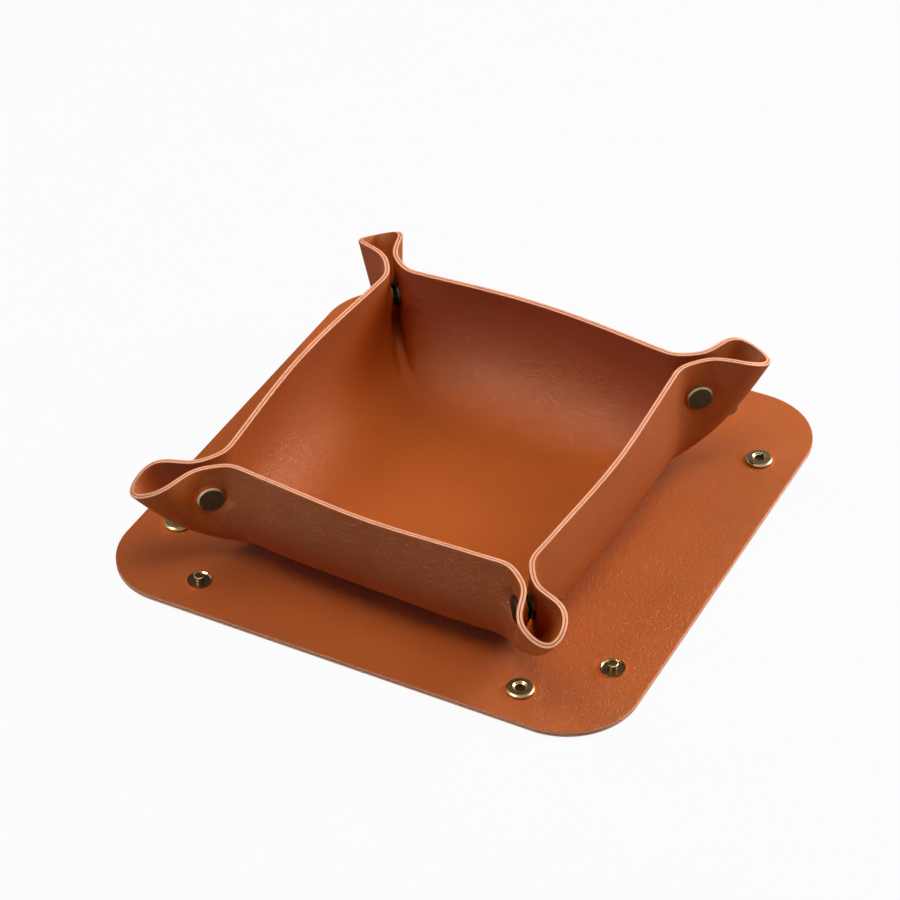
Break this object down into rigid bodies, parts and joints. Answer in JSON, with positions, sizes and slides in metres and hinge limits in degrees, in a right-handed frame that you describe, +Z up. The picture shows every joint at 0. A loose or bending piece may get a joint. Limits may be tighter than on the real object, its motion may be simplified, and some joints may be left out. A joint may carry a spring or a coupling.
{
  "type": "leather snap tray pair",
  "caption": "Square two-ply leather tray whose corners are pinched up by ring snaps, standing on an identical unsnapped flat sheet.",
  "frame": {"origin": "middle of the open sheet, on the surface that its snap heads stand on", "axes": "+Z up, -Y towards the front edge, +X to the right"},
  "size_m": [0.2, 0.2, 0.0516],
  "materials": {
    "leather_outer": "smooth tan leather, finished side",
    "leather_inner": "smooth tan leather, finished side with raw peach edges",
    "antique_brass": "dark antique brass with rubbed light rims",
    "spring_wire": "drawn wire"
  },
  "bodies": {
    "open_tray": {"open_outer_ply": "leather_outer", "open_inner_ply": "leather_inner", "open_cap_front": "antique_brass", "open_socket_front": "antique_brass", "open_spring_front": "spring_wire", "open_stud_front": "antique_brass", "open_post_front": "antique_brass", "open_cap_right": "antique_brass", "open_socket_right": "antique_brass", "open_spring_right": "spring_wire", "open_stud_right": "antique_brass", "open_post_right": "antique_brass", "open_cap_back": "antique_brass", "open_socket_back": "antique_brass", "open_spring_back": "spring_wire", "open_stud_back": "antique_brass", "open_post_back": "antique_brass", "open_cap_left": "antique_brass", "open_socket_left": "antique_brass", "open_spring_left": "spring_wire", "open_stud_left": "antique_brass", "open_post_left": "antique_brass"},
    "snapped_tray": {"snapped_outer_ply": "leather_outer", "snapped_inner_ply": "leather_inner", "snapped_cap_front": "antique_brass", "snapped_socket_front": "antique_brass", "snapped_spring_front": "spring_wire", "snapped_stud_front": "antique_brass", "snapped_post_front": "antique_brass", "snapped_cap_right": "antique_brass", "snapped_socket_right": "antique_brass", "snapped_spring_right": "spring_wire", "snapped_stud_right": "antique_brass", "snapped_post_right": "antique_brass", "snapped_cap_back": "antique_brass", "snapped_socket_back": "antique_brass", "snapped_spring_back": "spring_wire", "snapped_stud_back": "antique_brass", "snapped_post_back": "antique_brass", "snapped_cap_left": "antique_brass", "snapped_socket_left": "antique_brass", "snapped_spring_left": "spring_wire", "snapped_stud_left": "antique_brass", "snapped_post_left": "antique_brass"}
  },
  "joints": [
    {"name": "tray_lift", "type": "slide", "parent": "open_tray", "child": "snapped_tray", "axis": [0, 0, 1], "range_m": [0, 0.12]}
  ]
}
